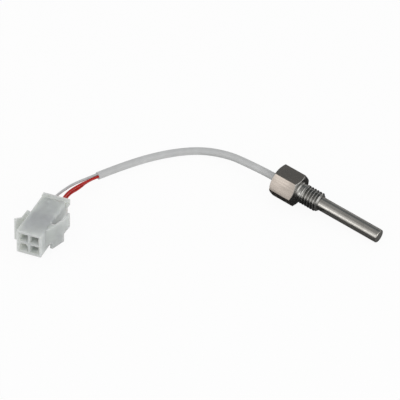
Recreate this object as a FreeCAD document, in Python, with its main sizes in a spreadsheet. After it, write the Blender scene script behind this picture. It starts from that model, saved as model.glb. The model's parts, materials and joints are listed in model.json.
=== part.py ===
import FreeCAD, Part
import Sketcher
import math
import os

# Screw-in resistance temperature probe: a hexagon fitting with a short thread and a closed stem,
# a white cable, three leads and a natural nylon panel plug, lying as it comes to rest on a table.
# Lengths are millimetres. The probe's own axis runs along X from the seating face of its hexagon;
# the plug's own axes are X across, Y from its mating face to the wires, Z up.

SIZES = {
    # hexagon and thread of the fitting
    "hex_across_flats": 12.0,
    "hex_length": 10.8,
    "hex_face_margin": 0.3,
    "hex_chamfer_angle": 30.0,
    "thread_diameter": 8.0,
    "thread_end": 9.7,
    "thread_chamfer": 0.75,
    "neck_relief": 0.35,
    "neck_length": 1.6,
    "neck_foot": 0.45,
    # stepped bore of the fitting
    "sheath_seat_depth": 4.0,
    "sheath_seat_step": 0.25,
    "throat_length": 1.0,
    "cable_bore_diameter": 6.4,
    # closed tube that carries the element
    "sheath_diameter": 5.5,
    "sheath_wall": 0.6,
    "sheath_floor": 0.8,
    "sheath_tip_radius": 0.55,
    "probe_reach": 37.2,
    # wound element in its ceramic rod and the parts behind it
    "element_diameter": 2.0,
    "element_length": 11.0,
    "element_tip_gap": 0.8,
    "compound_cover": 2.2,
    "element_lead_diameter": 0.3,
    "lead_sleeve_diameter": 0.8,
    "lead_sleeve_length": 4.0,
    "lead_sleeve_clearance": 0.05,
    "lead_sleeve_gap": 0.2,
    "splice_length": 4.0,
    "splice_sleeve_wall": 0.25,
    "splice_sleeve_clearance": 0.35,
    "splice_gap": 0.2,
    # cable and its three leads
    "cable_diameter": 3.1,
    "cable_depth": 5.2,
    "cable_clearance": 0.02,
    "cable_run_out": 9.06,
    "potting_recess": 0.3,
    "wire_diameter": 1.05,
    "wire_gap": 0.06,
    "lead_run_out": 4.3,
    "lead_run_in": 5.5,
    # plug housing
    "plug_length": 25.4,
    "plug_wall": 1.0,
    "plug_edge_radius": 0.5,
    "flange_length": 2.0,
    "flange_side": 1.0,
    "flange_top": 0.4,
    "flange_lug_height": 2.5,
    "flange_lug_slope": 1.5,
    "cavity_pitch": 4.5,
    "cavity_wall": 0.8,
    "cavity_depth": 14.0,
    "cavity_key_cut": 1.0,
    "panel_gap": 5.7,
    "ear_thickness": 1.0,
    "left_ear_length": 11.3,
    "left_ear_front_reach": 3.9,
    "left_ear_rear_reach": 3.6,
    "left_ear_tail": 0.3,
    "left_ear_web_length": 2.4,
    "left_ear_rear_top": 6.2,
    "left_ear_slope_length": 6.4,
    "right_ear_length": 11.0,
    "right_ear_bend": 6.0,
    "right_ear_front_reach": 1.8,
    "right_ear_bend_reach": 4.0,
    "right_ear_rear_reach": 4.3,
    "right_ear_ramp": 3.0,
    "right_ear_root_length": 2.4,
    "right_ear_root_low": 3.0,
    "right_ear_rear_low": 3.7,
    "latch_height": 2.0,
    "latch_peak": 5.0,
    "latch_flat": 0.8,
    "latch_front": 1.0,
    "latch_width": 4.4,
    # crimp contacts of the plug
    "contact_inset": 2.5,
    "contact_clearance": 0.2,
    "contact_diameter": 2.5,
    "contact_bore": 1.5,
    "contact_bore_depth": 7.0,
    "contact_barrel_length": 10.0,
    "contact_crimp_diameter": 1.7,
    "contact_crimp_length": 5.0,
    # where the plug lies: rear edge of its underside and its turn about the vertical
    "plug_rear_x": -85.16,
    "plug_rear_y": -62.96,
    "plug_turn": 15.2,
}

# Free points of the cable and its leads, chosen by hand along the photographed lines. Each route's
# ends come from the pieces that it leaves and enters.
CABLE_ROUTE = [
    (-37.6, 0.8, 6.47),
    (-50.48, 3.86, 2.69),
    (-62.05, 0.26, 1.64),
    (-71.7, -9.47, 1.64),
    (-79.64, -23.94, 2.38),
    (-84.4, -37.4, 3.2),
]
WHITE_ROUTE = [
    (-88.1, -48.03, 4.75),
    (-88.78, -54.49, 5.84),
]
RED_ROUTE_1 = [
    (-86.55, -47.06, 3.9),
    (-85.63, -53.51, 5.74),
]
RED_ROUTE_2 = [
    (-86.35, -47.15, 2.4),
    (-85.1, -53.6, 4.1),
]
# Where each lead leaves the cable's end, in degrees round it.
LEAD_ANGLES = {"white": 50, "red_1": 170, "red_2": 290}
# The share of the shorter run that an arc takes up, seen from its corner.
ARC_SHARE = 0.45
# Corner radius of a hexagon over its width across flats.
HEX_CORNER = 1.0 / math.sqrt(3.0)
# The cavity that each lead's contact is in, seen from the mating face.
WIRED = {"white": "upper_left", "red_1": "upper_right", "red_2": "lower_right"}
# How far a cutting outline stands outside the solid that it trims, in millimetres.
CUT_MARGIN = 1.0

doc = FreeCAD.newDocument("ScrewInProbe")
sheet = doc.addObject("Spreadsheet::Sheet", "Sizes")


class Size:
    """A length that keeps its formula for the sheet and its value for drawing."""

    def __init__(self, text, value):
        self.text = text
        self.value = value

    def __add__(self, other):
        other = as_size(other)
        return Size(f"({self.text} + {other.text})", self.value + other.value)

    def __sub__(self, other):
        other = as_size(other)
        return Size(f"({self.text} - {other.text})", self.value - other.value)

    def __mul__(self, other):
        other = as_size(other)
        return Size(f"({self.text} * {other.text})", self.value * other.value)

    def __truediv__(self, other):
        other = as_size(other)
        return Size(f"({self.text} / {other.text})", self.value / other.value)

    def __neg__(self):
        return Size(f"(0 - {self.text})", -self.value)


def as_size(item):
    """A plain number as a size that no cell drives."""
    if isinstance(item, Size):
        return item
    return Size(f"({item!r})", float(item))


def fill_sheet():
    """Write each driving dimension to its own cell and return them all as sizes."""
    cells = {}
    for row, (alias, value) in enumerate(SIZES.items(), start=1):
        sheet.set(f"A{row}", alias)
        sheet.set(f"B{row}", str(value))
        sheet.setAlias(f"B{row}", alias)
        cells[alias] = Size(f"Sizes.{alias}", value)
    doc.recompute()
    return cells


class Cells:
    """The sheet's sizes, read by their names."""

    def __init__(self, cells):
        self.__dict__.update(cells)


size = Cells(fill_sheet())


# Sketches and features shared by the sub-parts


def new_body(name):
    """An empty body whose label names the sub-part."""
    return doc.addObject("PartDesign::Body", name)


def new_sketch(body, plane, lift=None):
    """A sketch on one of the body's own planes, moved along its normal if a lift is given."""
    sketch = body.newObject("Sketcher::SketchObject", f"{body.Name}_outline")
    planes = [item for item in body.Origin.OriginFeatures if item.Role == plane]
    sketch.AttachmentSupport = (planes[0], [""])
    sketch.MapMode = "FlatFace"
    if lift is not None:
        sketch.setExpression("AttachmentOffset.Base.z", as_size(lift).text)
    return sketch


def pin_point(sketch, edge, point, across, along):
    """Tie one point of a sketch to its two coordinates."""
    for kind, axis, item in (("DistanceX", -2, across), ("DistanceY", -1, along)):
        amount = as_size(item)
        if not isinstance(item, Size) and item == 0:
            sketch.addConstraint(Sketcher.Constraint("PointOnObject", edge, point, axis))
            continue
        index = sketch.addConstraint(Sketcher.Constraint(kind, -1, 1, edge, point, amount.value))
        sketch.setExpression(f"Constraints[{index}]", amount.text)


def draw_outline(sketch, points):
    """A closed outline of straight edges through points tied to the sheet."""
    first = sketch.GeometryCount
    count = len(points)
    spots = [FreeCAD.Vector(as_size(u).value, as_size(v).value, 0) for u, v in points]
    for i in range(count):
        sketch.addGeometry(Part.LineSegment(spots[i], spots[(i + 1) % count]))
    for i in range(count):
        following = first + (i + 1) % count
        sketch.addConstraint(Sketcher.Constraint("Coincident", first + i, 2, following, 1))
    for i, (across, along) in enumerate(points):
        pin_point(sketch, first + i, 1, across, along)


def draw_circle(sketch, across, along, radius):
    """A circle whose centre and radius are tied to the sheet."""
    spot = FreeCAD.Vector(as_size(across).value, as_size(along).value, 0)
    index = sketch.addGeometry(Part.Circle(spot, FreeCAD.Vector(0, 0, 1), radius.value))
    pin_point(sketch, index, 3, across, along)
    rule = sketch.addConstraint(Sketcher.Constraint("Radius", index, radius.value))
    sketch.setExpression(f"Constraints[{rule}]", radius.text)


def turn(body, points, cut=False):
    """Turn an outline of (axial, radial) points about the body's X axis, as metal or as a cut."""
    sketch = new_sketch(body, "XY_Plane")
    draw_outline(sketch, points)
    kind = "PartDesign::Groove" if cut else "PartDesign::Revolution"
    feature = body.newObject(kind, f"{body.Name}_turned")
    feature.Profile = sketch
    feature.ReferenceAxis = (sketch, ["H_Axis"])
    feature.Angle = 360
    return feature


def extrude(body, plane, outlines, length, lift=None, reverse=False, cut=False):
    """Extrude outlines from a plane by a length, as material or as a pocket."""
    sketch = new_sketch(body, plane, lift)
    for points in outlines:
        draw_outline(sketch, points)
    return extrude_sketch(body, sketch, length, reverse, cut)


def extrude_sketch(body, sketch, length, reverse=False, cut=False):
    """Extrude a finished sketch by a length, as material or as a pocket that must remove some."""
    before = 0.0
    if cut:
        doc.recompute()
        before = body.Shape.Volume
    feature = body.newObject("PartDesign::Pocket" if cut else "PartDesign::Pad", f"{body.Name}_step")
    feature.Profile = sketch
    feature.setExpression("Length", as_size(length).text)
    feature.Reversed = reverse
    if cut:
        doc.recompute()
        if body.Shape.Volume >= before:
            raise RuntimeError(f"{body.Name}: a pocket removed nothing")
    return feature


def round_edges(body, feature, radius, chosen):
    """Round the edges of a feature that pass the given test."""
    doc.recompute()
    names = [f"Edge{i}" for i, edge in enumerate(feature.Shape.Edges, start=1) if chosen(edge)]
    fillet = body.newObject("PartDesign::Fillet", f"{body.Name}_rounding")
    fillet.Base = (feature, names)
    fillet.setExpression("Radius", radius.text)
    return fillet


def turned_rod(name, start, end, radius, bore=None):
    """A plain round rod or tube between two stations on its own X axis."""
    body = new_body(name)
    inner = 0 if bore is None else bore
    turn(body, [(start, inner), (start, radius), (end, radius), (end, inner)])
    return body


# Stations along the probe's axis, from the seating face of the hexagon

stem_tip = size.probe_reach
stem_bore = size.sheath_diameter / 2 - size.sheath_wall
sheath_seat = size.sheath_diameter / 2 - size.sheath_seat_step
cavity_end = stem_tip - size.sheath_floor
element_front = cavity_end - size.element_tip_gap
element_rear = element_front - size.element_length
sleeve_front = element_rear
sleeve_rear = sleeve_front - size.lead_sleeve_length
splice_front = sleeve_rear
splice_rear = splice_front - size.splice_length
throat_rear = -(size.sheath_seat_depth + size.throat_length)
cable_end = -(size.hex_length - size.cable_depth)
hex_face = size.hex_across_flats / 2 - size.hex_face_margin
sleeve_spread = (size.lead_sleeve_diameter + size.lead_sleeve_gap) / 2
splice_wrap = (stem_bore - size.splice_sleeve_clearance - size.splice_gap / 2) / 2
splice_spread = splice_wrap + size.splice_gap / 2


def make_fitting():
    """Hexagon, relief neck and thread blank turned from one bar, with the stepped bore."""
    body = new_body("hex_fitting")
    flat = size.hex_across_flats / 2
    corner = size.hex_across_flats * HEX_CORNER
    hexagon = [
        (corner, 0),
        (corner / 2, flat),
        (-corner / 2, flat),
        (-corner, 0),
        (-corner / 2, -flat),
        (corner / 2, -flat),
    ]
    extrude(body, "YZ_Plane", [hexagon], size.hex_length, reverse=True)

    # The facing chamfer takes the corners off both ends of the hexagon.
    outside = corner + CUT_MARGIN
    slope = math.tan(math.radians(SIZES["hex_chamfer_angle"]))
    depth = (outside - hex_face) * slope
    turn(body, [(0, hex_face), (0, outside), (-depth, outside)], cut=True)
    rear = -size.hex_length
    turn(body, [(rear, hex_face), (rear, outside), (rear + depth, outside)], cut=True)

    thread = size.thread_diameter / 2
    neck = thread - size.neck_relief
    foot = neck + size.neck_foot
    shank = [
        (-size.neck_length, 0),
        (-size.neck_length, foot),
        (0, foot),
        (size.neck_foot, neck),
        (size.neck_length, neck),
        (size.neck_length + size.neck_relief, thread),
        (size.thread_end - size.thread_chamfer, thread),
        (size.thread_end, thread - size.thread_chamfer),
        (size.thread_end, 0),
    ]
    turn(body, shank)

    cable_bore = size.cable_bore_diameter / 2
    bore = [
        (size.thread_end, 0),
        (size.thread_end, sheath_seat),
        (-size.sheath_seat_depth, sheath_seat),
        (-size.sheath_seat_depth, stem_bore),
        (throat_rear, stem_bore),
        (throat_rear, cable_bore),
        (rear, cable_bore),
        (rear, 0),
    ]
    turn(body, bore, cut=True)
    return body


def make_sheath():
    """Drawn tube with a closed, rounded end, ground down a little where it sits in the fitting."""
    body = new_body("probe_sheath")
    outer = size.sheath_diameter / 2
    wall = [
        (-size.sheath_seat_depth, stem_bore),
        (-size.sheath_seat_depth, sheath_seat),
        (size.thread_end, sheath_seat),
        (size.thread_end, outer),
        (stem_tip, outer),
        (stem_tip, 0),
        (cavity_end, 0),
        (cavity_end, stem_bore),
    ]
    tube = turn(body, wall)

    def is_tip_rim(edge):
        box = edge.BoundBox
        return box.XLength < 1e-6 and box.XMax > stem_tip.value - 1e-6 and box.YLength > outer.value

    round_edges(body, tube, size.sheath_tip_radius, is_tip_rim)
    return body


def make_compound():
    """Heat-conducting filling between the element and the sheath's closed end."""
    body = new_body("thermal_compound")
    rear = element_rear - size.compound_cover
    element = size.element_diameter / 2
    room = size.lead_sleeve_diameter / 2 + sleeve_spread + size.lead_sleeve_clearance
    filling = [
        (rear, room),
        (rear, stem_bore),
        (cavity_end, stem_bore),
        (cavity_end, 0),
        (element_front, 0),
        (element_front, element),
        (element_rear, element),
        (element_rear, room),
    ]
    turn(body, filling)
    return body


def make_potting():
    """Sealing resin that holds the cable in the rear bore."""
    rear = size.potting_recess - size.hex_length
    bore = size.cable_diameter / 2 + size.cable_clearance
    return turned_rod("rear_potting", rear, throat_rear, size.cable_bore_diameter / 2, bore)


def make_element_parts(place):
    """The wound element with its two leads, their sleeves and the two spliced joints."""
    made = [(turned_rod("sensing_element", element_rear, element_front, size.element_diameter / 2), place)]
    lead = size.element_lead_diameter / 2
    sleeve_bore = lead + size.lead_sleeve_clearance
    splice = splice_wrap - size.splice_sleeve_wall
    for colour, side in (("red", 1), ("white", -1)):
        near = shifted(place, side * sleeve_spread.value, 0)
        apart = shifted(place, side * splice_spread.value, 0)
        made += [
            (turned_rod(f"element_lead_{colour}", splice_front, element_rear, lead), near),
            (turned_rod(f"lead_sleeve_{colour}", sleeve_rear, sleeve_front, size.lead_sleeve_diameter / 2,
                        sleeve_bore), near),
            (turned_rod(f"splice_{colour}", splice_rear, splice_front, splice), apart),
            (turned_rod(f"splice_sleeve_{colour}", splice_rear, splice_front, splice_wrap, splice), apart),
        ]
    return made


def wire_ring():
    """Distance of each of the cable's three wires from the cable's centre line."""
    return (SIZES["wire_diameter"] + SIZES["wire_gap"]) / math.sqrt(3.0)


def ring_spot(angle):
    """Sideways and upward place of a wire on the ring, from its angle in degrees."""
    return wire_ring() * math.cos(math.radians(angle)), wire_ring() * math.sin(math.radians(angle))


def make_probe_wires(place):
    """The cable's three wires inside the probe, from the cable's end to the splices."""
    wire = size.wire_diameter / 2
    angles = {"probe_wire_red_1": 60, "probe_wire_red_2": -60, "probe_wire_white": 180}
    return [(turned_rod(name, cable_end, splice_rear, wire), shifted(place, *ring_spot(angle)))
            for name, angle in angles.items()]


def shifted(place, y, z):
    """A placement moved sideways and upwards in its own frame."""
    return place.multiply(FreeCAD.Placement(FreeCAD.Vector(0, y, z), FreeCAD.Rotation()))


# The plug, with stations from its mating face

cavity_side = size.cavity_pitch - size.cavity_wall
plug_width = size.cavity_pitch + cavity_side + size.plug_wall * 2
plug_height = plug_width
flange_front = size.plug_length - size.flange_length
ear_rear = flange_front - size.panel_gap
contact_rear = size.plug_length - size.contact_inset
contact_front = contact_rear - size.contact_crimp_length - size.contact_barrel_length


def cavity_spots():
    """Centres of the four cavities seen from the mating face, by name."""
    half = size.cavity_pitch / 2
    low = plug_height / 2 - half
    high = plug_height / 2 + half
    return {
        "upper_left": (-half, high),
        "upper_right": (half, high),
        "lower_right": (half, low),
        "lower_left": (-half, low),
    }


def square_mouth(across, up):
    """Outline of a square contact cavity."""
    half = cavity_side / 2
    return [(across - half, up - half), (across + half, up - half), (across + half, up + half),
            (across - half, up + half)]


def keyed_mouth(across, up):
    """Outline of the cavity whose upper corners are cut, which stops a wrong mating."""
    half = cavity_side / 2
    cut = size.cavity_key_cut
    return [
        (across - half, up - half),
        (across + half, up - half),
        (across + half, up + half - cut),
        (across + half - cut, up + half),
        (across - half + cut, up + half),
        (across - half, up + half - cut),
    ]


def trim_ear(body, side, reach, outline):
    """Cut an ear away inside an outline of stations and heights, beside the housing's wall only."""
    extrude(body, "YZ_Plane", [outline], reach + CUT_MARGIN, lift=plug_width / 2 * side, reverse=side > 0,
            cut=True)


def add_right_ear(body):
    """A spring ear that grows from the housing in front and flares to its free end at the rear."""
    wall = plug_width / 2
    thick = size.ear_thickness
    front = ear_rear - size.right_ear_length
    bend = front + size.right_ear_bend
    leaf = [
        (wall + size.right_ear_front_reach - thick, front),
        (wall + size.right_ear_front_reach, front),
        (wall + size.right_ear_bend_reach, bend),
        (wall + size.right_ear_rear_reach, ear_rear),
        (wall + size.right_ear_rear_reach - thick, ear_rear),
        (wall + size.right_ear_bend_reach - thick, bend),
    ]
    extrude(body, "XY_Plane", [leaf], plug_height)

    # The root rises as a ramp in front, reaches to the middle of the leaf's thickness, and leaves the
    # leaf's lower front corner free.
    share = size.right_ear_root_length / size.right_ear_bend
    flare = (size.right_ear_bend_reach - size.right_ear_front_reach) * share
    near = size.right_ear_front_reach - thick / 2
    root = [
        (wall, front - size.right_ear_ramp),
        (wall + size.right_ear_front_reach, front),
        (wall + near, front),
        (wall + near + flare, front + size.right_ear_root_length),
        (wall, front + size.right_ear_root_length),
    ]
    extrude(body, "XY_Plane", [root], plug_height - size.right_ear_root_low, lift=size.right_ear_root_low)

    # Behind the bend the leaf keeps its upper part.
    past_rear = ear_rear + CUT_MARGIN
    trim_ear(body, 1, size.right_ear_rear_reach, [
        (bend, -CUT_MARGIN),
        (past_rear, -CUT_MARGIN),
        (past_rear, size.right_ear_rear_low),
        (bend, size.right_ear_rear_low),
    ])


def add_left_ear(body):
    """A spring ear that stands off the housing's side on a web at its rear, with its top sloping down."""
    wall = plug_width / 2
    thick = size.ear_thickness
    front = ear_rear - size.left_ear_length
    web_rear = ear_rear - size.left_ear_tail
    web_front = web_rear - size.left_ear_web_length
    taper = (size.left_ear_rear_reach - size.left_ear_front_reach) / size.left_ear_length
    plan = [
        (wall, web_front),
        (wall + size.left_ear_front_reach + taper * (web_front - front) - thick, web_front),
        (wall + size.left_ear_front_reach - thick, front),
        (wall + size.left_ear_front_reach, front),
        (wall + size.left_ear_rear_reach, ear_rear),
        (wall + size.left_ear_rear_reach - thick, ear_rear),
        (wall + size.left_ear_front_reach + taper * (web_rear - front) - thick, web_rear),
        (wall, web_rear),
    ]
    leaf = [(-across, along) for across, along in plan]
    extrude(body, "XY_Plane", [leaf], plug_height)

    past_rear = ear_rear + CUT_MARGIN
    above = plug_height + CUT_MARGIN
    trim_ear(body, -1, size.left_ear_front_reach, [
        (front, plug_height),
        (front + size.left_ear_slope_length, size.left_ear_rear_top),
        (past_rear, size.left_ear_rear_top),
        (past_rear, above),
        (front, above),
    ])


def make_housing():
    """Moulded plug housing with four cavities, stop flange, panel ears and latch ramp."""
    body = new_body("plug_housing")
    half = plug_width / 2
    block = [(-half, 0), (half, 0), (half, plug_height), (-half, plug_height)]
    core = extrude(body, "XZ_Plane", [block], size.plug_length, reverse=True)

    def runs_along(edge):
        return edge.BoundBox.YLength > SIZES["plug_length"] / 2

    round_edges(body, core, size.plug_edge_radius, runs_along)

    brim = half + size.flange_side
    crown = plug_height + size.flange_top
    lug_low = crown - size.flange_lug_height
    lug_root = lug_low - size.flange_lug_slope
    # The lugs are the same turned half round: the right one is high and the left one low.
    flange = [
        (-brim, 0),
        (half, 0),
        (half, lug_root),
        (brim, lug_low),
        (brim, crown),
        (-half, crown),
        (-half, plug_height - lug_root),
        (-brim, plug_height - lug_low),
    ]
    extrude(body, "XZ_Plane", [flange], size.flange_length, lift=-flange_front, reverse=True)

    add_right_ear(body)
    add_left_ear(body)

    ramp = [
        (size.latch_front, size.plug_edge_radius),
        (size.latch_front, 0),
        (size.latch_peak - size.latch_flat, -size.latch_height),
        (size.latch_peak, -size.latch_height),
        (size.latch_peak, size.plug_edge_radius),
    ]
    extrude(body, "YZ_Plane", [ramp], size.latch_width, lift=-size.latch_width / 2)

    entry = size.contact_diameter / 2 + size.contact_clearance
    mouths = []
    entries = new_sketch(body, "XZ_Plane")
    for name, (across, up) in cavity_spots().items():
        mouths.append(keyed_mouth(across, up) if name == "lower_left" else square_mouth(across, up))
        draw_circle(entries, across, up, entry)
    extrude(body, "XZ_Plane", mouths, size.cavity_depth, cut=True)
    extrude_sketch(body, entries, size.plug_length + CUT_MARGIN, cut=True)
    return body


def make_contacts(place):
    """Crimp contacts in the three cavities that have a wire."""
    barrel = size.contact_diameter / 2
    bore = size.contact_bore / 2
    crimp = size.contact_crimp_diameter / 2
    crimp_start = size.contact_barrel_length
    crimp_end = size.contact_barrel_length + size.contact_crimp_length
    shape = [
        (0, bore),
        (0, barrel),
        (crimp_start, barrel),
        (crimp_start, crimp),
        (crimp_end, crimp),
        (crimp_end, 0),
        (size.contact_bore_depth, 0),
        (size.contact_bore_depth, bore),
    ]
    along_plug = FreeCAD.Rotation(FreeCAD.Vector(0, 0, 1), 90)
    made = []
    for lead, cavity in WIRED.items():
        body = new_body(f"contact_{lead}")
        turn(body, shape)
        across, up = cavity_spots()[cavity]
        seat = FreeCAD.Vector(across.value, contact_front.value, up.value)
        made.append((body, place.multiply(FreeCAD.Placement(seat, along_plug))))
    return made


# The cable and its leads


def cable_points(probe):
    """The cable leaves the fitting along the probe's axis."""
    start = cable_end.value
    on_axis = [probe.multVec(FreeCAD.Vector(x, 0, 0)) for x in (start, start - SIZES["cable_run_out"])]
    return on_axis + [FreeCAD.Vector(*point) for point in CABLE_ROUTE]


def lead_points(cable, plug, lead, route):
    """A lead starts on the ring at the cable's cut end and ends behind its contact."""
    heading = (cable[-1] - cable[-2]).normalize()
    side = heading.cross(FreeCAD.Vector(0, 0, 1)).normalize()
    up = side.cross(heading)
    sideways, upward = ring_spot(LEAD_ANGLES[lead])
    start = cable[-1] + side * sideways + up * upward + heading * SIZES["cable_clearance"]
    across, high = cavity_spots()[WIRED[lead]]
    rear = contact_rear.value + SIZES["cable_clearance"]
    stations = (rear + SIZES["lead_run_in"], rear)
    ends = [plug.multVec(FreeCAD.Vector(across.value, y, high.value)) for y in stations]
    free = [FreeCAD.Vector(*point) for point in route]
    return [start, start + heading * SIZES["lead_run_out"]] + free + ends


def cord_path(corners):
    """Straight runs joined by tangent arcs, and the arcs' radii."""
    edges = []
    radii = []
    start = corners[0]
    for before, corner, after in zip(corners, corners[1:], corners[2:]):
        back = before - corner
        ahead = after - corner
        half_turn = (math.pi - back.getAngle(ahead)) / 2
        reach = ARC_SHARE * min(back.Length, ahead.Length)
        radius = reach / math.tan(half_turn)
        back.normalize()
        ahead.normalize()
        arc_start = corner + back * reach
        arc_end = corner + ahead * reach
        middle = back + ahead
        middle.normalize()
        apex = corner + middle * (radius / math.cos(half_turn) - radius)
        edges.append(Part.LineSegment(start, arc_start).toShape())
        edges.append(Part.Arc(arc_start, apex, arc_end).toShape())
        radii.append(radius)
        start = arc_end
    edges.append(Part.LineSegment(start, corners[-1]).toShape())
    return Part.Wire(edges), radii


def make_cord(name, points, diameter):
    """A plain round tube along a route."""
    path, radii = cord_path(points)
    start = points[0]
    heading = points[1] - start
    section = Part.Wire([Part.Circle(start, heading, diameter / 2).toShape()])
    cord = doc.addObject("Part::Feature", name)
    cord.Shape = path.makePipeShell([section], True, False)
    expected = math.pi * diameter ** 2 / 4 * path.Length
    if abs(cord.Shape.Volume / expected - 1) > 0.01:
        raise RuntimeError(f"{name}: the tube's volume doesn't match its section and length")
    print(f"{name}: {path.Length:.1f} mm long, radii", [round(radius, 1) for radius in radii])
    print("through", [tuple(round(value, 3) for value in point) for point in points])
    return cord


# Places


def probe_place(droop, height, forward):
    """The probe's axis tips down by the droop about the front of its hexagon."""
    tip = FreeCAD.Rotation(FreeCAD.Vector(0, 1, 0), math.degrees(droop))
    return FreeCAD.Placement(FreeCAD.Vector(forward, 0, height), tip)


def resting_droop():
    """Tilt and axis height at which the lower flat and the stem's rounded tip touch the table."""
    flat = SIZES["hex_across_flats"] / 2
    slope = math.tan(math.radians(SIZES["hex_chamfer_angle"]))
    touch = -SIZES["hex_face_margin"] * slope
    tip_radius = SIZES["sheath_tip_radius"]
    span = SIZES["probe_reach"] - tip_radius - touch
    drop = flat - (SIZES["sheath_diameter"] / 2 - tip_radius)
    droop = math.atan2(drop, span) - math.asin(tip_radius / math.hypot(span, drop))
    height = flat * math.cos(droop) + touch * math.sin(droop)
    return droop, height


def plug_place():
    """The plug lies on its latch ramp and on the rear edge of its underside."""
    run = SIZES["plug_length"] - SIZES["latch_peak"]
    lift = math.atan2(SIZES["latch_height"], run)
    turned = FreeCAD.Rotation(FreeCAD.Vector(0, 0, 1), SIZES["plug_turn"])
    raised = FreeCAD.Rotation(FreeCAD.Vector(1, 0, 0), -math.degrees(lift))
    facing = turned.multiply(raised)
    rear_edge = FreeCAD.Vector(SIZES["plug_rear_x"], SIZES["plug_rear_y"], 0)
    origin = rear_edge - facing.multVec(FreeCAD.Vector(0, SIZES["plug_length"], 0))
    return FreeCAD.Placement(origin, facing)


def middle_of_probe(droop):
    """How far the seating face stands behind the middle of the lying probe."""
    tip_radius = SIZES["sheath_tip_radius"]
    rear = -SIZES["hex_length"] * math.cos(droop) - hex_face.value * math.sin(droop)
    tip_centre = SIZES["probe_reach"] - tip_radius
    tip_rise = SIZES["sheath_diameter"] / 2 - tip_radius
    front = tip_centre * math.cos(droop) + tip_rise * math.sin(droop) + tip_radius
    return -(rear + front) / 2


def build():
    """Make every sub-part, put it in its place and return them all."""
    droop, height = resting_droop()
    probe = probe_place(droop, height, middle_of_probe(droop))
    plug = plug_place()
    placed = [(make(), probe) for make in (make_fitting, make_sheath, make_compound, make_potting)]
    placed += make_element_parts(probe)
    placed += make_probe_wires(probe)
    placed.append((make_housing(), plug))
    placed += make_contacts(plug)
    for body, place in placed:
        body.Placement = place
    cable = cable_points(probe)
    white = lead_points(cable, plug, "white", WHITE_ROUTE)
    red_1 = lead_points(cable, plug, "red_1", RED_ROUTE_1)
    red_2 = lead_points(cable, plug, "red_2", RED_ROUTE_2)
    cords = [
        make_cord("cable_jacket", cable, SIZES["cable_diameter"]),
        make_cord("white_wire", white, SIZES["wire_diameter"]),
        make_cord("red_wire_1", red_1, SIZES["wire_diameter"]),
        make_cord("red_wire_2", red_2, SIZES["wire_diameter"]),
    ]
    print("probe place", probe, "plug place", plug)
    return [body for body, _ in placed] + cords


def check(parts):
    """Stop if any object failed or any sub-part is not one sound solid."""
    doc.recompute()
    for item in doc.Objects:
        if "Invalid" in item.State or "Error" in item.State:
            raise RuntimeError(f"{item.Name} is {item.State}")
    for part in parts:
        if part.Shape.isNull() or not part.Shape.isValid() or len(part.Shape.Solids) != 1:
            raise RuntimeError(f"{part.Label} is not one valid solid")


def write(parts):
    """Write each sub-part to its own file."""
    os.makedirs("parts", exist_ok=True)
    for part in parts:
        part.Shape.exportStep(f"parts/{part.Label}.step")


all_parts = build()
check(all_parts)
write(all_parts)
print(len(all_parts), "sub-parts written")
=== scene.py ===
import json
import logging
import math
from collections.abc import Callable
from dataclasses import dataclass
from enum import Enum

import bmesh
import bpy
from mathutils import Matrix, Vector


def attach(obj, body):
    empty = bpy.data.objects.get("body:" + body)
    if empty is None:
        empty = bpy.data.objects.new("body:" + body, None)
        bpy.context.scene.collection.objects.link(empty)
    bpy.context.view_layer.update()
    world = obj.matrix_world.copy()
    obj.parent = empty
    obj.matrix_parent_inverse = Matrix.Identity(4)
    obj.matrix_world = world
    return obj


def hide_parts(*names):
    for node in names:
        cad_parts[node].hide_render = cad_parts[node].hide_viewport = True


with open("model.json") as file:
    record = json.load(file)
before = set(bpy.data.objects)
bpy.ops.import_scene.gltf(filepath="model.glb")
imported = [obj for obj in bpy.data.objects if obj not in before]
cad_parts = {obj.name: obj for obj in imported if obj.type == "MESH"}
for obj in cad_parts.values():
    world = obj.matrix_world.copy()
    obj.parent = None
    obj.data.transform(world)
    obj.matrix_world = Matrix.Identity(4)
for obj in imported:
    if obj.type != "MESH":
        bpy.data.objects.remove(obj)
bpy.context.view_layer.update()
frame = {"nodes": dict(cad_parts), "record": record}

# A screw-in resistance temperature probe on a short white cable, whose three leads end in a
# natural nylon panel plug. All lengths below are millimetres unless a name says otherwise.

MM = 0.001
LOG = logging.getLogger("screw_in_probe")

Point = tuple[float, float, float]


class Flow(Enum):
    """Which way the fine marks of a metal surface run, seen along the probe's axis."""

    RINGS = "round the axis, as a lathe or a grinder leaves them"
    LINES = "along the axis, as a drawing die leaves them"


class FarEnd(Enum):
    """What is on the far end of a free cord."""

    PLUG = "plug"
    CONNECTOR = "connector"


def linear(hex_colour: str) -> tuple[float, float, float, float]:
    """Turn an sRGB hex colour to linear light.

    Args:
        hex_colour: six hex digits after a hash sign.

    Returns:
        Red, green and blue in linear light, and an alpha of one.
    """
    shares = [int(hex_colour[i:i + 2], 16) / 255 for i in (1, 3, 5)]
    light = [s / 12.92 if s <= 0.04045 else ((s + 0.055) / 1.055) ** 2.4 for s in shares]
    return light[0], light[1], light[2], 1.0


def add_node(
    tree: bpy.types.NodeTree,
    kind: str,
    settings: dict | None = None,
    values: dict | None = None,
    links: dict | None = None,
) -> bpy.types.Node:
    """Add one node with its settings, socket values and incoming links.

    Args:
        tree: the node tree to add it to.
        kind: the node's type name.
        settings: attributes of the node itself.
        values: constants for its input sockets, by socket name or number.
        links: output sockets to join to its input sockets, by socket name or number.

    Returns:
        The new node.
    """
    node = tree.nodes.new(kind)
    for name, value in (settings or {}).items():
        setattr(node, name, value)
    for name, value in (values or {}).items():
        node.inputs[name].default_value = value
    for name, source in (links or {}).items():
        tree.links.new(source, node.inputs[name])
    return node


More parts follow.
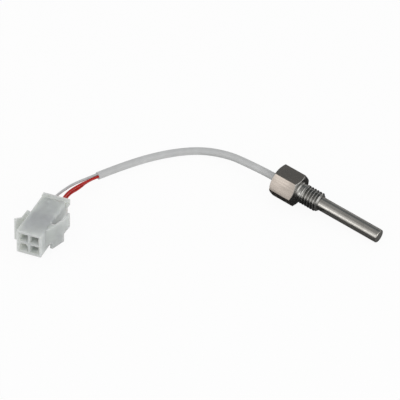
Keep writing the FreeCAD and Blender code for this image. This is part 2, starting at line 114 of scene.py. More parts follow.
def new_material(name: str) -> tuple[bpy.types.Material, bpy.types.Node]:
    """Start a node material.

    Args:
        name: the material's name.

    Returns:
        The material and its surface shader, already joined to the output.
    """
    material = bpy.data.materials.new(name)
    material.use_nodes = True
    tree = material.node_tree
    tree.nodes.clear()
    shader = add_node(tree, "ShaderNodeBsdfPrincipled")
    add_node(tree, "ShaderNodeOutputMaterial", links={"Surface": shader.outputs["BSDF"]})
    return material, shader


def blend_colours(
    tree: bpy.types.NodeTree, share: bpy.types.NodeSocket, low: str, high: str
) -> bpy.types.NodeSocket:
    """Run a colour from one hex value to another as a share goes from zero to one.

    Args:
        tree: the node tree.
        share: the socket that drives the colour.
        low: the colour at zero.
        high: the colour at one.

    Returns:
        The socket with the mixed colour.
    """
    mix = add_node(
        tree,
        "ShaderNodeMix",
        {"data_type": "RGBA"},
        {6: linear(low), 7: linear(high)},
        {0: share},
    )
    return mix.outputs[2]


@dataclass(frozen=True)
class ProbeAxis:
    """The probe's own axis in the shared frame, from the seating face of its hexagon."""

    seat: Point = (-12.9963, 0.0, 5.96158)
    droop_deg: float = 5.04053

    def matrix(self) -> Matrix:
        """Place of the probe's own frame, in metres, with X along its axis."""
        turn = Matrix.Rotation(math.radians(self.droop_deg), 4, "Y")
        return Matrix.Translation(Vector(self.seat) * MM) @ turn

    def point(self, station: float) -> Vector:
        """Point on the axis at a station in millimetres, in metres."""
        return self.matrix() @ Vector((station * MM, 0, 0))


AXIS = ProbeAxis()
# The mesh attribute that holds how deep a point lies in the thread, as its painted shade.
GROOVE = "groove"


@dataclass(frozen=True)
class SteelFinish:
    """Stainless steel that was turned, ground or drawn."""

    name: str
    flow: Flow
    bright: str
    dull: str
    roughness_low: float
    roughness_high: float
    mark_spacing: float
    mark_length: float = 9.0
    smudge_size: float = 3.5
    mark_depth: float = 0.006
    # Colour of the painted shade in the thread's roots.
    root_shade_colour: str | None = None

    def material(self) -> bpy.types.Material:
        """Make the metal: its marks run round or along the probe, so highlights stretch across them.

        Returns:
            The new material.
        """
        material, shader = new_material(self.name)
        tree = material.node_tree
        spot = add_node(tree, "ShaderNodeTexCoord")
        own = add_node(
            tree,
            "ShaderNodeMapping",
            {"vector_type": "TEXTURE"},
            {"Location": Vector(AXIS.seat) * MM, "Rotation": (0, math.radians(AXIS.droop_deg), 0)},
            {"Vector": spot.outputs["Object"]},
        )
        across = 1 / (self.mark_spacing * MM)
        along = 1 / (self.mark_length * MM)
        stretch = (across, along, along) if self.flow is Flow.RINGS else (along, across, across)
        fine = add_node(
            tree,
            "ShaderNodeVectorMath",
            {"operation": "MULTIPLY"},
            {1: stretch},
            {0: own.outputs["Vector"]},
        )
        marks = add_node(
            tree,
            "ShaderNodeTexNoise",
            values={"Scale": 1.0, "Detail": 3.0, "Roughness": 0.6},
            links={"Vector": fine.outputs["Vector"]},
        )
        smudges = add_node(
            tree,
            "ShaderNodeTexNoise",
            values={"Scale": 1 / (self.smudge_size * MM), "Detail": 2.0},
            links={"Vector": own.outputs["Vector"]},
        )
        wear = add_node(
            tree,
            "ShaderNodeMath",
            {"operation": "MULTIPLY_ADD"},
            {1: 0.45},
            {0: smudges.outputs["Fac"], 2: marks.outputs["Fac"]},
        )
        share = add_node(
            tree,
            "ShaderNodeMapRange",
            values={"From Min": 0.45, "From Max": 1.0},
            links={"Value": wear.outputs["Value"]},
        )
        rough = add_node(
            tree,
            "ShaderNodeMapRange",
            values={"To Min": self.roughness_low, "To Max": self.roughness_high},
            links={"Value": share.outputs["Result"]},
        )
        bump = add_node(
            tree,
            "ShaderNodeBump",
            values={"Strength": 0.35, "Distance": self.mark_depth * MM},
            links={"Height": marks.outputs["Fac"]},
        )
        colour = blend_colours(tree, share.outputs["Result"], self.bright, self.dull)
        # Painted shade: the thread's roots go towards this colour the deeper they lie.
        if self.root_shade_colour:
            depth = add_node(tree, "ShaderNodeAttribute", {"attribute_name": GROOVE})
            shaded = add_node(
                tree,
                "ShaderNodeMix",
                {"data_type": "RGBA"},
                {7: linear(self.root_shade_colour)},
                {0: depth.outputs["Fac"], 6: colour},
            )
            colour = shaded.outputs[2]
        shader.inputs["Metallic"].default_value = 1.0
        tree.links.new(colour, shader.inputs["Base Color"])
        tree.links.new(rough.outputs["Result"], shader.inputs["Roughness"])
        tree.links.new(bump.outputs["Normal"], shader.inputs["Normal"])
        return material


@dataclass(frozen=True)
class PolymerFinish:
    """A moulded, extruded, cast or fired non-metal with a fine grain and a soft mottle."""

    name: str
    light: str
    deep: str
    roughness: float
    grain_size: float
    grain_depth: float
    mottle_size: float
    glow: float = 0.0
    glow_depth: float = 1.0
    ior: float = 1.5
    metallic: float = 0.0

    def material(self) -> bpy.types.Material:
        """Make the non-metal, with mottled colour, grained gloss and light that sinks in.

        Returns:
            The new material.
        """
        material, shader = new_material(self.name)
        tree = material.node_tree
        spot = add_node(tree, "ShaderNodeTexCoord")
        mottle = add_node(
            tree,
            "ShaderNodeTexNoise",
            values={"Scale": 1 / (self.mottle_size * MM), "Detail": 3.0, "Roughness": 0.55},
            links={"Vector": spot.outputs["Object"]},
        )
        grain = add_node(
            tree,
            "ShaderNodeTexNoise",
            values={"Scale": 1 / (self.grain_size * MM), "Detail": 2.0},
            links={"Vector": spot.outputs["Object"]},
        )
        rough = add_node(
            tree,
            "ShaderNodeMapRange",
            values={
                "From Min": 0.3,
                "From Max": 0.7,
                "To Min": self.roughness * 0.85,
                "To Max": min(1.0, self.roughness * 1.15),
            },
            links={"Value": grain.outputs["Fac"]},
        )
        share = add_node(
            tree,
            "ShaderNodeMapRange",
            values={"From Min": 0.3, "From Max": 0.7},
            links={"Value": mottle.outputs["Fac"]},
        )
        bump = add_node(
            tree,
            "ShaderNodeBump",
            values={"Strength": 0.5, "Distance": self.grain_depth * MM},
            links={"Height": grain.outputs["Fac"]},
        )
        colour = blend_colours(tree, share.outputs["Result"], self.light, self.deep)
        shader.inputs["IOR"].default_value = self.ior
        shader.inputs["Metallic"].default_value = self.metallic
        shader.inputs["Subsurface Weight"].default_value = self.glow
        shader.inputs["Subsurface Radius"].default_value = (1.0, 1.0, 0.9)
        shader.inputs["Subsurface Scale"].default_value = self.glow_depth * MM
        tree.links.new(colour, shader.inputs["Base Color"])
        tree.links.new(rough.outputs["Result"], shader.inputs["Roughness"])
        tree.links.new(bump.outputs["Normal"], shader.inputs["Normal"])
        return material


# The bar was drawn to a hexagon, so its flats carry straight lines along the bar. Drawn at
# 0.4 mm, coarser than the real lines, so that they show.
DRAWN_BAR = SteelFinish(
    "stainless_steel_drawn_bar", Flow.LINES, "#beb4ab", "#a89f96", 0.24, 0.36, mark_spacing=0.4
)
# Neck, thread and end faces come from the lathe: rings round the axis, 0.3 mm where the real
# feed is nearer 0.1 mm. Painted shade darkens the thread's roots, more the deeper they lie.
TURNED_BAR = SteelFinish(
    "stainless_steel_turned",
    Flow.RINGS,
    "#c9c8c4",
    "#aeaca8",
    0.20,
    0.34,
    mark_spacing=0.3,
    root_shade_colour="#454440",
)
# The stem is ground between centres: very fine rings and a long soft highlight.
GROUND_TUBE = SteelFinish(
    "stainless_steel_ground_tube", Flow.RINGS, "#cdcac4", "#b3b0aa", 0.18, 0.30, mark_spacing=0.35
)
# Nickel wire, drawn: thin, plain and greyish.
NICKEL_WIRE = SteelFinish(
    "nickel_drawn_wire", Flow.LINES, "#b8b4aa", "#9c978d", 0.25, 0.40, mark_spacing=0.2
)
# Uncoloured nylon, injection moulded: milky, with light sinking a few millimetres into its
# walls, and a satin skin from the mould.
NATURAL_NYLON = PolymerFinish(
    "nylon_natural_moulded", "#c9cecb", "#bdc2bf", 0.36, 0.35, 0.004, 4.0,
    glow=1.0, glow_depth=8.0, ior=1.53,
)
# Soft white vinyl, extruded round the wires: even and satin, a little grey in the photograph.
WHITE_VINYL = PolymerFinish(
    "vinyl_white_extruded", "#cecfcf", "#c3c4c4", 0.45, 0.5, 0.006, 5.0,
    glow=0.10, glow_depth=0.8, ior=1.54,
)
# Lead insulation, thin and glossier than the jacket.
WHITE_LEAD = PolymerFinish(
    "fluoropolymer_white_extruded", "#c8c9c9", "#bbbcbd", 0.35, 0.3, 0.003, 3.0,
    glow=0.10, glow_depth=0.4, ior=1.38,
)
RED_LEAD = PolymerFinish(
    "fluoropolymer_red_extruded", "#c0251c", "#a91c16", 0.33, 0.3, 0.003, 3.0,
    glow=0.05, glow_depth=0.3, ior=1.38,
)
# Tin over brass strip, stamped and rolled: a soft grey metal.
TINNED_BRASS = PolymerFinish(
    "brass_tinned_stamped", "#bdb8ad", "#a49e92", 0.32, 0.25, 0.003, 1.5, metallic=1.0
)
# Two-part resin, poured: dark, level and glossy.
CAST_RESIN = PolymerFinish("epoxy_cast", "#2b2b2c", "#232324", 0.28, 0.6, 0.004, 2.5, ior=1.55)
# Alumina, fired: white and matt.
FIRED_CERAMIC = PolymerFinish(
    "alumina_fired", "#ebe8e0", "#dedad0", 0.6, 0.2, 0.004, 1.5, glow=0.05, ior=1.76
)
# Heat-conducting silicone filling, cured: white and dull.
CURED_FILLING = PolymerFinish(
    "silicone_filled_cured", "#dddcd8", "#d0cfca", 0.65, 0.3, 0.006, 2.0, ior=1.43
)
# Woven glass sleeving: pale yellow, with a coarse weave.
GLASS_SLEEVING = PolymerFinish("glass_fibre_braided", "#d6d0bb", "#b9b29a", 0.7, 0.25, 0.02, 0.5)

SLOT_FINISHES = {
    "turned_steel": TURNED_BAR,
    "drawn_steel": GROUND_TUBE,
    "filling": CURED_FILLING,
    "sealing_resin": CAST_RESIN,
    "ceramic": FIRED_CERAMIC,
    "nickel_wire": NICKEL_WIRE,
    "sleeving": GLASS_SLEEVING,
    "cable_jacket": WHITE_VINYL,
    "white_lead_insulation": WHITE_LEAD,
    "red_lead_insulation": RED_LEAD,
    "natural_nylon": NATURAL_NYLON,
    "tinned_brass": TINNED_BRASS,
}


class FinishBook:
    """Makes each finish's material once and hands it out by the record's slot."""

    def __init__(self) -> None:
        """Start with nothing made."""
        self.made: dict[str, bpy.types.Material] = {}

    def of(self, finish: SteelFinish | PolymerFinish) -> bpy.types.Material:
        """Give a finish's material.

        Args:
            finish: the finish wanted.

        Returns:
            Its material, made at the first asking.
        """
        if finish.name not in self.made:
            self.made[finish.name] = finish.material()
        return self.made[finish.name]

    def dress_nodes(self) -> None:
        """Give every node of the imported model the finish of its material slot."""
        for part in frame["record"]["subparts"]:
            node = frame["nodes"][part["node"]]
            node.data.materials.clear()
            node.data.materials.append(self.of(SLOT_FINISHES[part["material_slot"]]))


def node_copy(name: str, weld: float = 0.0005, flat_deg: float = 0.5) -> bmesh.types.BMesh:
    """Copy a node's mesh with its loose triangles joined and its flat faces whole.

    Args:
        name: the node.
        weld: how near two corners are to be one, in millimetres.
        flat_deg: faces that bend less than this become one.

    Returns:
        The joined copy.
    """
    bm = bmesh.new()
    bm.from_mesh(frame["nodes"][name].data)
    bmesh.ops.remove_doubles(bm, verts=bm.verts, dist=weld * MM)
    flat = math.radians(flat_deg)
    bmesh.ops.dissolve_limit(bm, angle_limit=flat, verts=bm.verts, edges=bm.edges, delimit=set())
    return bm


def soften_edges(
    bm: bmesh.types.BMesh,
    width: float,
    sharper_than: float,
    chosen: Callable[[bmesh.types.BMEdge], bool],
) -> None:
    """Round the sharp edges of a mesh a little, as tumbling or a mould leaves them.

    Args:
        bm: the mesh.
        width: width of the rounding in millimetres.
        sharper_than: smallest angle between two faces that counts as sharp, in degrees.
        chosen: a further test that an edge has to pass.
    """
    limit = math.radians(sharper_than)
    edges = [e for e in bm.edges if e.is_manifold and e.calc_face_angle() > limit and chosen(e)]
    bmesh.ops.bevel(
        bm,
        geom=edges,
        offset=width * MM,
        offset_type="OFFSET",
        affect="EDGES",
        segments=2,
        profile=0.5,
        material=-1,
        clamp_overlap=True,
    )


def finish_piece(bm: bmesh.types.BMesh, name: str, sharp_deg: float) -> bpy.types.Object:
    """Turn a bmesh into a smooth-shaded piece that rides on the part's body.

    Args:
        bm: the finished mesh, in metres in the shared frame.
        name: the piece's name.
        sharp_deg: edges that bend more than this stay sharp.

    Returns:
        The new object.
    """
    limit = math.radians(sharp_deg)
    for face in bm.faces:
        face.smooth = True
    for edge in bm.edges:
        edge.smooth = not edge.is_manifold or edge.calc_face_angle() < limit
    mesh = bpy.data.meshes.new(name)
    bm.to_mesh(mesh)
    bm.free()
    piece = bpy.data.objects.new(name, mesh)
    bpy.context.scene.collection.objects.link(piece)
    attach(piece, "root")
    LOG.info("%s: %d faces", name, len(mesh.polygons))
    return piece


@dataclass
class ProbeFitting:
    """The hexagon fitting with its relief neck and cut thread."""

    neck_radius: float = 3.65
    neck_length: float = 1.6
    thread_radius: float = 4.0
    thread_end: float = 9.7
    thread_chamfer: float = 0.75
    pitch: float = 1.25
    thread_depth: float = 0.70
    thread_start: float = 2.2
    crest_share: float = 0.16
    root_share: float = 0.12
    runout: float = 0.7
    # Share of painted shade at the bottom of the thread's roots.
    root_shade_share: float = 0.45
    bore_radius: float = 2.50
    cut_station: float = 0.9
    joint_gap: float = 0.15
    rows: int = 161
    steps: int = 120
    edge_rounding: float = 0.12
    sharp_edge_deg: float = 18.0
    smooth_below_deg: float = 32.0
    bore_margin: float = 0.2
    outside_radius: float = 5.0
    flat_radius: float = 5.5
    flat_slant: float = 0.1

    def thread_drop(self, station: float, angle: float) -> float:
        """Depth of the thread groove below its crest.

        Args:
            station: place along the axis in millimetres.
            angle: place round the axis in radians.

        Returns:
            How far the surface lies below the crest, in millimetres.
        """
        turn = (station / self.pitch - angle / math.tau) % 1.0
        away = abs(turn - 0.5) * 2
        flank = (away - self.root_share) / (1 - self.root_share - self.crest_share)
        deep = 1 - min(1.0, max(0.0, flank))
        fade = min(1.0, max(0.0, (station - self.thread_start) / self.runout))
        return deep * self.thread_depth * fade

    def cut_thread(self, bm: bmesh.types.BMesh, verts: list[bmesh.types.BMVert]) -> None:
        """Sink the helical groove into the turned blank and note how deep each point lies.

        Args:
            bm: the mesh with the blank.
            verts: the blank's vertices.
        """
        shade_layer = bm.verts.layers.float[GROOVE]
        place = AXIS.matrix()
        back = place.inverted()
        for vert in verts:
            own = back @ vert.co
            radius = math.hypot(own.y, own.z)
            station = own.x / MM
            if radius < (self.bore_radius + self.bore_margin) * MM or station < self.neck_length:
                continue
            angle = math.atan2(own.z, own.y)
            depth = self.thread_drop(station, angle)
            allowed = min(radius, (self.thread_radius - depth) * MM)
            own.y, own.z = own.y / radius * allowed, own.z / radius * allowed
            vert.co = place @ own
            # Painted shade of the thread's roots, by depth.
            vert[shade_layer] = depth / self.thread_depth * self.root_shade_share

    def add_shank(self, bm: bmesh.types.BMesh) -> None:
        """Spin the shank's outline, from the neck over the thread and back through the bore.

        Args:
            bm: the mesh to add it to.
        """
        start = self.cut_station + self.joint_gap
        cone = self.neck_length + self.thread_radius - self.neck_radius
        tip = self.thread_end - self.thread_chamfer
        outline = [
            (start, self.neck_radius),
            (self.neck_length, self.neck_radius),
            (cone, self.thread_radius),
            (tip, self.thread_radius),
            (self.thread_end, self.thread_radius - self.thread_chamfer),
            (self.thread_end, self.bore_radius),
            (start, self.bore_radius),
        ]
        place = AXIS.matrix()
        verts = [bm.verts.new(place @ Vector((x * MM, r * MM, 0))) for x, r in outline]
        edges = [bm.edges.new(pair) for pair in zip(verts, verts[1:])]
        fine = {1: 6, 2: self.rows, 3: 14}
        for index, cuts in fine.items():
            bmesh.ops.subdivide_edges(bm, edges=[edges[index]], cuts=cuts)
        profile_verts = [v for v in bm.verts if not v.link_faces]
        profile_edges = [e for e in bm.edges if not e.link_faces]
        before = set(bm.faces)
        bmesh.ops.spin(
            bm,
            geom=profile_verts + profile_edges,
            cent=AXIS.point(0),
            axis=AXIS.point(1) - AXIS.point(0),
            angle=math.tau,
            steps=self.steps,
            use_merge=True,
        )
        made = list({v for f in bm.faces if f not in before for v in f.verts})
        self.cut_thread(bm, made)

    def close_neck(self, bm: bmesh.types.BMesh) -> None:
        """Join the hexagon's cut neck and bore to the spun shank.

        Args:
            bm: the mesh with two open rims outside and two inside.
        """
        middle = (self.neck_radius + self.bore_radius) / 2 * MM
        back = AXIS.matrix().inverted()
        rims: dict[bool, list[bmesh.types.BMEdge]] = {True: [], False: []}
        for edge in bm.edges:
            if edge.is_boundary:
                own = back @ edge.verts[0].co
                rims[math.hypot(own.y, own.z) > middle].append(edge)
        for edges in rims.values():
            bmesh.ops.bridge_loops(bm, edges=edges)

    def build(self, book: FinishBook) -> bpy.types.Object:
        """Make the fitting from the node's hexagon and a new threaded shank.

        Args:
            book: the finishes.

        Returns:
            The finished piece.
        """
        bm = node_copy("hex_fitting")
        bm.verts.layers.float.new(GROOVE)
        heading = AXIS.point(1) - AXIS.point(0)
        everything = bm.verts[:] + bm.edges[:] + bm.faces[:]
        bmesh.ops.bisect_plane(
            bm,
            geom=everything,
            plane_co=AXIS.point(self.cut_station),
            plane_no=heading,
            clear_outer=True,
        )
        soften_edges(bm, self.edge_rounding, self.sharp_edge_deg, self.on_hexagon)
        self.add_shank(bm)
        self.close_neck(bm)
        bmesh.ops.recalc_face_normals(bm, faces=bm.faces)
        back = AXIS.matrix().inverted()
        direction = heading.normalized()
        for face in bm.faces:
            own = back @ face.calc_center_median()
            level = abs(face.normal.dot(direction)) < self.flat_slant
            outside = math.hypot(own.y, own.z) > self.flat_radius * MM
            face.material_index = 0 if level and outside and own.x < 0 else 1
        piece = finish_piece(bm, "probe_fitting", self.smooth_below_deg)
        piece.data.materials.append(book.of(DRAWN_BAR))
        piece.data.materials.append(book.of(TURNED_BAR))
        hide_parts("hex_fitting")
        return piece

    def on_hexagon(self, edge: bmesh.types.BMEdge) -> bool:
        """Tell whether an edge is on the outside of the hexagon.

        Args:
            edge: the edge.

        Returns:
            True where both its ends are there.
        """
        back = AXIS.matrix().inverted()
        spots = [back @ vert.co for vert in edge.verts]
        return all(math.hypot(own.y, own.z) > self.outside_radius * MM for own in spots)


@dataclass
class PanelPlug:
    """The moulded plug with its cavities, ears, flange and ramp."""

    edge_rounding: float = 0.18
    sharp_edge_deg: float = 30.0
    smooth_below_deg: float = 40.0

    def build(self, book: FinishBook) -> bpy.types.Object:
        """Make the moulding from the node, with the soft edges of a moulded part.

        Args:
            book: the finishes.

        Returns:
            The finished piece.
        """
        bm = node_copy("plug_housing")
        soften_edges(bm, self.edge_rounding, self.sharp_edge_deg, lambda edge: True)
        piece = finish_piece(bm, "plug_moulding", self.smooth_below_deg)
        piece.data.materials.append(book.of(NATURAL_NYLON))
        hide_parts("plug_housing")
        return piece


@dataclass
class FreeCord:
    """A free cable or lead along its route."""

    name: str
    node: str
    slot: str
    diameter: float
    route: list[Point]
    leaves_at: Point
    length: float
    far_end: FarEnd
    stiffness: str

    def build(self, book: FinishBook, on_it: list[bpy.types.Object]) -> bpy.types.Object:
        """Lay the cord along its route as one smooth round line.

        Args:
            book: the finishes.
            on_it: the separate pieces on the cord; not used.

        Returns:
            The finished piece.
        """
        curve = bpy.data.curves.new(self.name, "CURVE")
        curve.dimensions = "3D"
        curve.resolution_u = 12
        curve.bevel_depth = self.diameter / 2 * MM
        curve.bevel_resolution = 8
        curve.use_fill_caps = True
        spline = curve.splines.new("NURBS")
        spline.points.add(len(self.route) - 1)
        for point, spot in zip(spline.points, self.route):
            point.co = (*(Vector(spot) * MM), 1.0)
        spline.order_u = 3
        spline.use_endpoint_u = True
        piece = bpy.data.objects.new(self.name, curve)
        bpy.context.scene.collection.objects.link(piece)
        curve.materials.append(book.of(SLOT_FINISHES[self.slot]))
        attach(piece, "root")
        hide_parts(self.node)
        LOG.info("%s: %d route points", self.name, len(self.route))
        return piece


@dataclass
class CableSet:
    """The white cable and the three leads that leave its cut end.

    The route points are the solids'. Of each lead, the fourth and fifth were moved, so that
    the leads lie as close together as in the photograph.
    """

    cable_diameter: float = 3.1
    lead_diameter: float = 1.05

    def cords(self) -> list[tuple[FreeCord, list[str]]]:
        """List the cords.

        Returns:
            Each cord with the names of the nodes on its far end.
        """
        cable = FreeCord(
            name="sensor_cable",
            node="cable_jacket",
            slot="cable_jacket",
            diameter=self.cable_diameter,
            route=[
                (-18.575, 0.0, 6.454),
                (-27.6, 0.0, 7.25),
                (-37.6, 0.8, 6.47),
                (-50.48, 3.86, 2.69),
                (-62.05, 0.26, 1.64),
                (-71.7, -9.47, 1.64),
                (-79.64, -23.94, 2.38),
                (-84.4, -37.4, 3.2),
            ],
            leaves_at=(-23.755, 0.0, 6.911),
            length=89.0,
            far_end=FarEnd.PLUG,
            stiffness="medium",
        )
        white = FreeCord(
            name="lead_white",
            node="white_wire",
            slot="white_lead_insulation",
            diameter=self.lead_diameter,
            route=[
                (-83.788, -34.431, 3.519),
                (-86.217, -41.302, 3.938),
                (-88.1, -48.03, 4.75),
                (-88.2, -54.4, 5.84),
                (-87.6, -59.8, 7.02),
                (-86.872, -65.24, 7.557),
            ],
            leaves_at=(-84.786, -37.255, 3.691),
            length=31.8,
            far_end=FarEnd.CONNECTOR,
            stiffness="limp",
        )
        red_1 = FreeCord(
            name="lead_red_1",
            node="red_wire_1",
            slot="red_lead_insulation",
            diameter=self.lead_diameter,
            route=[
                (-82.812, -34.799, 3.14),
                (-85.241, -41.671, 3.559),
                (-86.55, -47.06, 3.9),
                (-86.1, -53.6, 5.74),
                (-84.5, -58.9, 7.02),
                (-82.53, -64.06, 7.557),
            ],
            leaves_at=(-83.81, -37.623, 3.312),
            length=30.8,
            far_end=FarEnd.CONNECTOR,
            stiffness="limp",
        )
        red_2 = FreeCord(
            name="lead_red_2",
            node="red_wire_2",
            slot="red_lead_insulation",
            diameter=self.lead_diameter,
            route=[
                (-83.627, -34.554, 2.428),
                (-86.056, -41.426, 2.846),
                (-86.35, -47.15, 2.4),
                (-86.15, -53.8, 4.5),
                (-84.95, -59.45, 3.3),
                (-82.414, -64.484, 3.078),
            ],
            leaves_at=(-84.625, -37.378, 2.6),
            length=31.2,
            far_end=FarEnd.CONNECTOR,
            stiffness="limp",
        )
        return [
            (cable, []),
            (white, ["contact_white"]),
            (red_1, ["contact_red_1"]),
            (red_2, ["contact_red_2"]),
        ]

    def build(self, book: FinishBook, plug: bpy.types.Object) -> list[bpy.types.Object]:
        """Lay all the cords.

        Args:
            book: the finishes.
            plug: the plug's piece, which is on the cable's far end.

        Returns:
            The cords' pieces.
        """
        laid = []
        for cord, ends in self.cords():
            on_it = [frame["nodes"][name] for name in ends] or [plug]
            laid.append(cord.build(book, on_it))
        return laid


# Tints of a card: plain grey, and the slight blue of daylight from behind.
NEUTRAL: Point = (1.0, 1.0, 1.0)
COOL: Point = (0.98, 1.09, 1.16)


@dataclass(frozen=True)
class Card:
    """A long card beside the probe that only reflections see, as a photographer shapes metal.

    Its section runs between two angles round the probe, from the front floor over the top to the
    back floor, at one distance.
    """

    name: str
    start_deg: float
    end_deg: float
    distance: float
    left: float
    right: float
    grey: float
    tint: Point = NEUTRAL


CARDS = (
    Card("front_high_card", 40.0, 60.0, 420.0, -700.0, 500.0, 0.72),
    Card("overhead_card", 60.0, 112.0, 420.0, -700.0, 500.0, 0.37),
    Card("back_high_card", 112.0, 146.0, 420.0, -700.0, 500.0, 0.16, COOL),
    Card("back_low_card", 146.0, 179.0, 420.0, -700.0, 500.0, 0.30),
)


@dataclass(frozen=True)
class ShadeSheet:
    """A dark sheet under part of the probe, seen only in reflections: painted shade."""

    name: str
    left: float
    right: float
    grey: float


# Painted shade in reflections: darkest under the hexagon and thread, lighter under stem and tip.
SHADE_SHEETS = (
    ShadeSheet("hexagon_painted_shade", -60.0, -12.5, 0.03),
    ShadeSheet("thread_painted_shade", -12.5, -3.3, 0.03),
    ShadeSheet("stem_painted_shade", -3.3, 24.4, 0.10),
    ShadeSheet("tip_painted_shade", 24.4, 90.0, 0.16),
)


@dataclass(frozen=True)
class Lamp:
    """A soft rectangular lamp: its place from the aim point, its sides, and its power in watts."""

    name: str
    away: Point
    width: float
    length: float
    power: float


LAMPS = (
    Lamp("front_softbox", (-225.0, -425.0, 198.0), 300.0, 150.0, 0.16),
    Lamp("right_softbox", (520.0, -140.0, 300.0), 260.0, 260.0, 0.40),
)


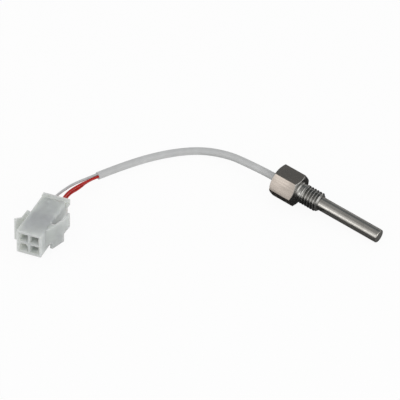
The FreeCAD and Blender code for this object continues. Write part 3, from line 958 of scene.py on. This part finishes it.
@dataclass
class Studio:
    """Pale floor, white surroundings, soft lamps, cards and the camera."""

    aim: Point = (-45.54, -21.92, 0.0)
    azimuth_deg: float = 36.31
    elevation_deg: float = 43.0
    distance: float = 900.0
    picture_width: float = 157.27
    ambient: float = 0.75
    # Sheets of painted shade under the probe: their front and back edges, and their height.
    shade_sheet_front: float = -185.0
    shade_sheet_back: float = 60.0
    shade_sheet_height: float = -0.01
    sensor_width: float = 36.0
    nearest: float = 10.0
    farthest: float = 20000.0
    floor_reach: float = 3000.0
    floor_height: float = -0.02
    floor_white: float = 0.93
    floor_roughness: float = 0.9

    def towards_camera(self) -> Vector:
        """Unit vector from the object to the camera."""
        turn, rise = math.radians(self.azimuth_deg), math.radians(self.elevation_deg)
        level = math.cos(rise)
        return Vector((math.sin(turn) * level, -math.cos(turn) * level, math.sin(rise)))

    def camera(self) -> None:
        """Set the camera at the photograph's view; the square picture's width is the sensor's."""
        data = bpy.data.cameras.new("studio_camera")
        data.sensor_width = self.sensor_width
        data.lens = data.sensor_width * self.distance / self.picture_width
        data.clip_start, data.clip_end = self.nearest * MM, self.farthest * MM
        camera = bpy.data.objects.new("studio_camera", data)
        camera.location = (Vector(self.aim) + self.towards_camera() * self.distance) * MM
        camera.rotation_euler = (-self.towards_camera()).to_track_quat("-Z", "Y").to_euler()
        bpy.context.scene.collection.objects.link(camera)
        bpy.context.scene.camera = camera

    def hang_lamp(self, lamp: Lamp) -> None:
        """Hang one soft lamp.

        Args:
            lamp: the lamp.
        """
        data = bpy.data.lights.new(lamp.name, "AREA")
        data.shape = "RECTANGLE"
        data.size = lamp.width * MM
        data.size_y = lamp.length * MM
        data.energy = lamp.power
        away = Vector(lamp.away)
        hung = bpy.data.objects.new(lamp.name, data)
        hung.location = (Vector(self.aim) + away) * MM
        hung.rotation_euler = (-away).to_track_quat("-Z", "Y").to_euler()
        bpy.context.scene.collection.objects.link(hung)

    def hang_card(
        self,
        name: str,
        start: Vector,
        end: Vector,
        along: Vector,
        grey: float,
        tint: Point = NEUTRAL,
    ) -> None:
        """Hang one card that only reflections see.

        Args:
            name: the card's name.
            start: one end of its first edge, in millimetres.
            end: the other end of that edge.
            along: how far the edge is drawn out.
            grey: how bright the card is in a reflection, from black to white.
            tint: what red, green and blue of that grey are multiplied by.
        """
        bm = bmesh.new()
        edge = bm.edges.new([bm.verts.new(start * MM), bm.verts.new(end * MM)])
        drawn = bmesh.ops.extrude_edge_only(bm, edges=[edge])
        moved = [item for item in drawn["geom"] if isinstance(item, bmesh.types.BMVert)]
        bmesh.ops.translate(bm, verts=moved, vec=along * MM)
        mesh = bpy.data.meshes.new(name)
        bm.to_mesh(mesh)
        bm.free()
        material = bpy.data.materials.new(name)
        material.use_nodes = True
        tree = material.node_tree
        tree.nodes.clear()
        colour = (*(grey * share for share in tint), 1.0)
        glow = add_node(tree, "ShaderNodeEmission", values={"Color": colour, "Strength": 1.0})
        add_node(tree, "ShaderNodeOutputMaterial", links={"Surface": glow.outputs["Emission"]})
        mesh.materials.append(material)
        card = bpy.data.objects.new(name, mesh)
        card.visible_camera = False
        card.visible_diffuse = False
        card.visible_transmission = False
        card.visible_shadow = False
        bpy.context.scene.collection.objects.link(card)

    def cards(self) -> None:
        """Hang the cards round the probe and lay the sheets of painted shade under it."""
        for card in CARDS:
            ends = [
                Vector((card.left, -math.cos(math.radians(deg)), math.sin(math.radians(deg))))
                for deg in (card.start_deg, card.end_deg)
            ]
            for end in ends:
                end.y, end.z = end.y * card.distance, end.z * card.distance
            along = Vector((card.right - card.left, 0, 0))
            self.hang_card(card.name, ends[0], ends[1], along, card.grey, card.tint)
        # Painted shade under the probe, seen only in reflections.
        for sheet in SHADE_SHEETS:
            start = Vector((sheet.left, self.shade_sheet_front, self.shade_sheet_height))
            end = Vector((sheet.left, self.shade_sheet_back, self.shade_sheet_height))
            self.hang_card(sheet.name, start, end, Vector((sheet.right - sheet.left, 0, 0)), sheet.grey)

    def seen_directly(self, tree: bpy.types.NodeTree) -> bpy.types.NodeSocket:
        """Tell a camera, glossy or transmitted ray from one that only lights.

        Args:
            tree: the node tree to add to.

        Returns:
            A socket that is one for such a ray and zero for the others.
        """
        path = add_node(tree, "ShaderNodeLightPath")
        first = add_node(
            tree,
            "ShaderNodeMath",
            {"operation": "MAXIMUM"},
            links={0: path.outputs["Is Camera Ray"], 1: path.outputs["Is Glossy Ray"]},
        )
        both = add_node(
            tree,
            "ShaderNodeMath",
            {"operation": "MAXIMUM"},
            links={0: first.outputs["Value"], 1: path.outputs["Is Transmission Ray"]},
        )
        return both.outputs["Value"]

    def surroundings(self) -> None:
        """White to the eye and in reflections, softer as a source of light."""
        world = bpy.data.worlds.new("white_studio")
        bpy.context.scene.world = world
        world.use_nodes = True
        tree = world.node_tree
        tree.nodes.clear()
        strength = add_node(
            tree,
            "ShaderNodeMapRange",
            values={"To Min": self.ambient, "To Max": 1.0},
            links={"Value": self.seen_directly(tree)},
        )
        light = add_node(
            tree,
            "ShaderNodeBackground",
            values={"Color": (1.0, 1.0, 1.0, 1.0)},
            links={"Strength": strength.outputs["Result"]},
        )
        add_node(tree, "ShaderNodeOutputWorld", links={"Surface": light.outputs["Background"]})

    def floor(self) -> None:
        """Lay a pale floor that keeps a faint shadow and goes over to white."""
        bm = bmesh.new()
        bmesh.ops.create_grid(bm, x_segments=1, y_segments=1, size=self.floor_reach * MM)
        mesh = bpy.data.meshes.new("pale_floor")
        bm.to_mesh(mesh)
        bm.free()
        material, shader = new_material("paper_white_matt")
        tree = material.node_tree
        shader.inputs["Base Color"].default_value = linear("#f4f4f3")
        shader.inputs["Roughness"].default_value = self.floor_roughness
        shader.inputs["Specular IOR Level"].default_value = 0.0
        plain = {"Color": (1.0, 1.0, 1.0, 1.0), "Strength": 1.0}
        white = add_node(tree, "ShaderNodeEmission", values=plain)
        share = add_node(
            tree,
            "ShaderNodeMath",
            {"operation": "MULTIPLY"},
            {1: self.floor_white},
            {0: self.seen_directly(tree)},
        )
        mix = add_node(
            tree,
            "ShaderNodeMixShader",
            links={
                0: share.outputs["Value"],
                1: shader.outputs["BSDF"],
                2: white.outputs["Emission"],
            },
        )
        output = next(n for n in tree.nodes if n.type == "OUTPUT_MATERIAL")
        tree.links.new(mix.outputs["Shader"], output.inputs["Surface"])
        mesh.materials.append(material)
        plane = bpy.data.objects.new("pale_floor", mesh)
        plane.location.z = self.floor_height * MM
        bpy.context.scene.collection.objects.link(plane)

    def build(self) -> None:
        """Set up the whole studio."""
        bpy.context.scene.view_settings.view_transform = "Standard"
        self.camera()
        self.surroundings()
        self.floor()
        self.cards()
        for lamp in LAMPS:
            self.hang_lamp(lamp)


def main() -> None:
    """Build the studio, then the probe, the plug and the cords."""
    logging.basicConfig(level=logging.INFO, format="%(name)s: %(message)s")
    Studio().build()
    book = FinishBook()
    book.dress_nodes()
    ProbeFitting().build(book)
    plug = PanelPlug().build(book)
    CableSet().build(book, plug)


if __name__ == "__main__":
    main()
